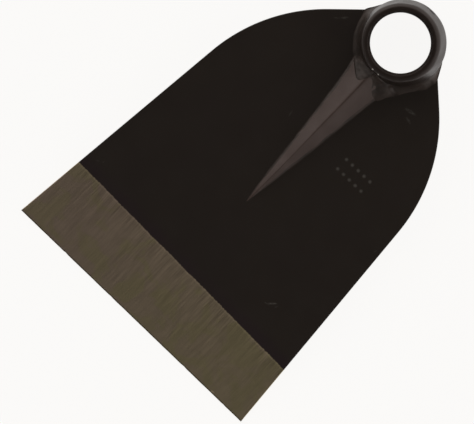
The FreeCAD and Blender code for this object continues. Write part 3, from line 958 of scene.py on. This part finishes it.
frontWeldForm = {
    "columns": 320,
    "rings": 44,
    "height": 4.6,
    "inner": 24.5,
    "outline": (  # direction in degrees from the collar's middle, outer radius
        (-200, 28.5), (-192, 29.6), (-187, 30.5), (-183, 31.9), (-177, 33.6), (-168, 32.7),
        (-157, 32.9), (-132, 33.8), (-121, 33.6), (-110, 35.6), (-97, 39.4), (-94, 37.0),
        (-91, 32.0), (-87, 31.4), (-84, 33.0), (-79, 39.0), (-74, 42.8), (-69, 41.8),
        (-62, 37.2), (-50, 34.6), (-40, 33.6), (-30, 33.6), (-20, 34.6), (-13, 36.0),
        (-7, 35.0), (-2, 32.9), (4, 31.3), (8, 30.4), (20, 28.5),
    ),
    "fillAt": (-74, 16),  # direction and half-spread of the lumpy fill beside the rib's head
    "fillHeight": 8.6,
    "stepAt": (-107, 13, 0.55),  # direction, half-spread and height of the step over the rib's -X face
    "lumpHeight": 0.20,
    "sunk": 0.07,  # the border dips this far under the face, so it fades out
}


def frontWeldShape():
    table = np.array(frontWeldForm["outline"], float)
    degrees = np.linspace(table[0, 0], table[-1, 0], frontWeldForm["columns"])
    turn = np.radians(degrees)
    outer = np.interp(degrees, table[:, 0], table[:, 1])
    outer = np.convolve(np.pad(outer, 4, mode="edge"), np.ones(9) / 9, mode="valid")
    share = np.linspace(0, 1, frontWeldForm["rings"])
    inner = frontWeldForm["inner"]
    r = inner + (outer - inner)[:, None] * share[None, :]
    x = r * np.cos(turn)[:, None] + collarMiddle[0]
    y = r * np.sin(turn)[:, None] + collarMiddle[1]
    plate = frontHeight(x, y)
    rib = np.clip(ribHeight(x, y), 0, None)
    base = plate + rib
    wall = collarFlank(base + 2.0)
    gap = np.clip(r - wall, 0, None)
    room = np.clip(outer[:, None] - wall, 0.4, None)
    t = np.clip(gap / room, 0, 1)
    size = np.clip((outer[:, None] - 28.4) / 4.0, 0.05, 1)
    middle, half, stepHeight = frontWeldForm["stepAt"]
    stepped = np.exp(-((degrees - middle) / half) ** 4)[:, None]
    size = size * (1 - 0.75 * stepped)
    fillet = frontWeldForm["height"] * size * (1 - np.clip(gap / np.clip(room, None, 6.0), 0, 1)) ** 2
    middle, half = frontWeldForm["fillAt"]
    nearRib = np.exp(-((degrees - middle) / half) ** 4)[:, None]
    fill = frontWeldForm["fillHeight"] * nearRib * (1 - t) ** 1.1
    over = base + fillet + stepHeight * stepped * np.clip((1 - t) / 0.13, 0, 1)
    lean = plate + fill
    top = (over + lean) / 2 + np.sqrt((over - lean) ** 2 / 4 + 0.25 * nearRib) - 0.06 * nearRib
    lump = lumps(x, y, 6.5, 61) + 0.5 * lumps(x, y, 3.2, 62)
    lump = frontWeldForm["lumpHeight"] * lump * np.clip((room - 2.0) / 4, 0.15, 1)
    top = top + lump * np.clip(t * 5, 0, 1) * np.clip((1 - t) * 2.5, 0, 1)
    top = top - frontWeldForm["sunk"] - np.clip(t - 0.9, 0, 1) / 0.1 * nearRib * 0.5
    under = (plate - 4.6)[:, ::3]
    front = np.stack([x, y, top], -1)
    back = np.stack([x[:, ::3], y[:, ::3], under], -1)
    return slab(front, back)


makePiece("collar_weld_front_look", frontWeldShape(), weldMaterial)


# Weld round the collar's foot, back

backWeldForm = {
    "columns": 260,
    "leg": backWeldHigh[2] - backWeldLow[2],
    "ripple": 0.14,
}


def backWeldShape():
    turn = np.radians(np.linspace(-180, 0, backWeldForm["columns"]))
    s = np.linspace(0, 1, 12)
    ripple = np.sin(turn * 28 * math.tau / 2.4 + 1.3 * np.sin(turn * 9))
    leg = backWeldForm["leg"] * (1 - 0.06 + 0.06 * lumps(turn * 28, turn * 0, 9.0, 67))
    r = collarRadius - 1 + (leg + 1)[:, None] * s[None, :]
    x = r * np.cos(turn)[:, None] + collarMiddle[0]
    y = r * np.sin(turn)[:, None] + collarMiddle[1]
    t = np.clip((r - collarRadius) / leg[:, None], 0, 1)
    deep = leg[:, None] * (1 - t ** 1.3) ** 0.9
    deep = deep + backWeldForm["ripple"] * ripple[:, None] * np.sin(math.pi * t)
    face = backHeight(x, y)
    front = np.stack([x, y, face + 1.5], -1)
    back = np.stack([x, y, face - deep + 0.05], -1)
    return slab(front, back)


makePiece("collar_weld_back_look", backWeldShape(), weldMaterial)


# Floor, light and camera

stageForm = {
    "floorSize": 12.0,
    "below": 0.3,  # the floor lies this far under the head, in mm
    "floorShine": 0.925,  # the floor is lit from within, like a light table
    "floorColour": (0.10, 0.10, 0.099),
}


def makeFloor():
    mesh = bpy.data.meshes.new("floor")
    half = stageForm["floorSize"] / 2
    low = -stageForm["below"] * mm
    corners = [(-half, -half, low), (half, -half, low), (half, half, low), (-half, half, low)]
    mesh.from_pydata(corners, [], [(0, 1, 2, 3)])
    material, _, shader, _ = nodeSetup("pale_floor")
    shader.inputs["Base Color"].default_value = (*stageForm["floorColour"], 1)
    shader.inputs["Roughness"].default_value = 0.9
    shader.inputs["Specular IOR Level"].default_value = 0.0
    shader.inputs["Emission Color"].default_value = (1, 0.990, 0.977, 1)
    shader.inputs["Emission Strength"].default_value = stageForm["floorShine"]
    mesh.materials.append(material)
    floor = bpy.data.objects.new("floor", mesh)
    bpy.context.scene.collection.objects.link(floor)


lightForm = {
    "sky": (  # sine of elevation, brightness
        (0.0, 1.0), (0.45, 1.0), (0.72, 0.45), (0.90, 0.10), (1.0, 0.06),
    ),
    "warmth": (1.0, 0.985, 0.97),
    "leftGain": 0.22,  # brighter toward -X
    "dimToward": -90.0,  # no lamp on this side, in degrees
    "dimLevel": 0.25,
    "dimUpTo": (0.60, 0.86),  # sine of elevation where the dim side ends
}


def makeSky():
    world = bpy.data.worlds.new("studio")
    bpy.context.scene.world = world
    world.use_nodes = True
    tree = world.node_tree
    place = tree.nodes.new("ShaderNodeTexCoord")
    xyz = axes(tree, place.outputs["Generated"])
    ramp = tree.nodes.new("ShaderNodeValToRGB")
    ramp.color_ramp.interpolation = "EASE"
    stops = ramp.color_ramp.elements
    while len(stops) < len(lightForm["sky"]):
        stops.new(0.5)
    for stop, (at, level) in zip(stops, lightForm["sky"]):
        stop.position = at
        stop.color = (*(level * c for c in lightForm["warmth"]), 1)
    tree.links.new(xyz["Z"], ramp.inputs["Fac"])
    sway = calc(tree, "MULTIPLY_ADD", xyz["X"], -lightForm["leftGain"], 1.0)
    way = math.radians(lightForm["dimToward"])
    flat = calc(tree, "SQRT", calc(tree, "SUBTRACT", 1.0001, calc(tree, "MULTIPLY", xyz["Z"], xyz["Z"])))
    alongY = calc(tree, "MULTIPLY", xyz["Y"], math.sin(way))
    toward = calc(tree, "MULTIPLY_ADD", xyz["X"], math.cos(way), alongY)
    share = spread(tree, calc(tree, "DIVIDE", toward, flat), 0.05, 0.4)
    share = calc(tree, "MULTIPLY", share, spread(tree, xyz["Z"], *lightForm["dimUpTo"], 1.0, 0.0))
    dim = calc(tree, "MULTIPLY_ADD", share, lightForm["dimLevel"] - 1, 1.0)
    sway = calc(tree, "MULTIPLY", sway, dim)
    back = tree.nodes["Background"]
    tree.links.new(ramp.outputs["Color"], back.inputs["Color"])
    tree.links.new(sway, back.inputs["Strength"])


cameraForm = {
    "above": (0.0, 0.0),
    "aim": (-0.36, -154.6, 8.0),
    "turn": 43.9,
    "distance": 8000.0,
    "viewWidth": 312.03,
}


def makeCamera():
    data = bpy.data.cameras.new("camera")
    camera = bpy.data.objects.new("camera", data)
    bpy.context.scene.collection.objects.link(camera)
    place = Vector((*cameraForm["above"], cameraForm["distance"])) * mm
    look = (Vector(cameraForm["aim"]) * mm - place).normalized()
    turn = math.radians(cameraForm["turn"])
    right = look.cross(Vector((-math.sin(turn), math.cos(turn), 0))).normalized()
    up = right.cross(look)
    camera.matrix_world = Matrix((
        (right.x, up.x, -look.x, place.x),
        (right.y, up.y, -look.y, place.y),
        (right.z, up.z, -look.z, place.z),
        (0, 0, 0, 1),
    ))
    data.sensor_width = 36.0
    data.lens = data.sensor_width * cameraForm["distance"] / cameraForm["viewWidth"]
    data.clip_start = 0.5
    data.clip_end = 40.0
    bpy.context.scene.camera = camera


makeFloor()
makeSky()
makeCamera()
bpy.context.scene.view_settings.view_transform = "Standard"
print("stage, light and camera made")
